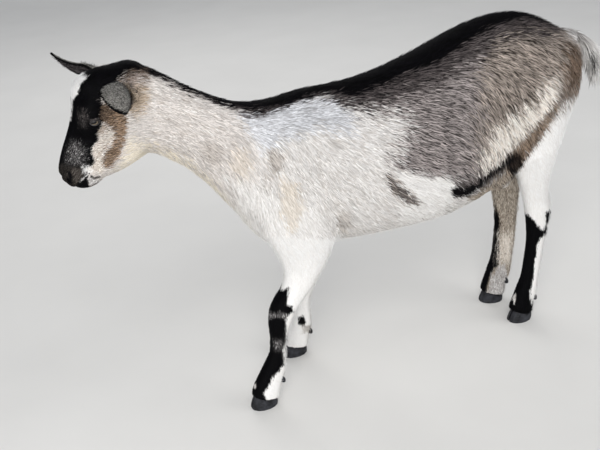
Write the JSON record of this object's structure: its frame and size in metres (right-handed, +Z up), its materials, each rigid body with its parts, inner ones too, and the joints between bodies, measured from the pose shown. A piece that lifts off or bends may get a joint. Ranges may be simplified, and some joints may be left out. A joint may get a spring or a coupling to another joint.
{
  "type": "alpine goat doe, standing",
  "caption": "Standing alpine doe with a lowered head, forward ears, long grey and white barrel, dark-striped legs, split hooves and a short bushy tail.",
  "frame": {"origin": "middle of the goat's outline seen from above, on the ground", "axes": "the goat faces -X, its left side faces -Y, +Z up from the ground"},
  "size_m": [1.3734, 0.3204, 0.8843],
  "materials": {
    "torso": "short coat, grey-brown roan and white with a black back stripe",
    "neck": "short cream-white coat",
    "head": "very short black, brown and cream coat",
    "ear": "very short grey coat with black rims",
    "eye": "wet, amber with a level slit pupil",
    "tail": "long grey, white and black hair",
    "leg": "short white coat with black fronts below the knee and hock",
    "hoof": "dull dark horn"
  },
  "bodies": {
    "root": {"torso": "torso", "neck": "neck", "head": "head", "ear_left": "ear", "ear_right": "ear", "eye_left": "eye", "eye_right": "eye", "tail": "tail", "foreleg_left": "leg", "foreleg_right": "leg", "hindleg_left": "leg", "hindleg_right": "leg", "hoof_fore_left_left": "hoof", "hoof_fore_left_right": "hoof", "hoof_fore_right_left": "hoof", "hoof_fore_right_right": "hoof", "hoof_hind_left_left": "hoof", "hoof_hind_left_right": "hoof", "hoof_hind_right_left": "hoof", "hoof_hind_right_right": "hoof", "dewclaw_fore_left_left": "hoof", "dewclaw_fore_left_right": "hoof", "dewclaw_fore_right_left": "hoof", "dewclaw_fore_right_right": "hoof", "dewclaw_hind_left_left": "hoof", "dewclaw_hind_left_right": "hoof", "dewclaw_hind_right_left": "hoof", "dewclaw_hind_right_right": "hoof"}
  },
  "joints": []
}
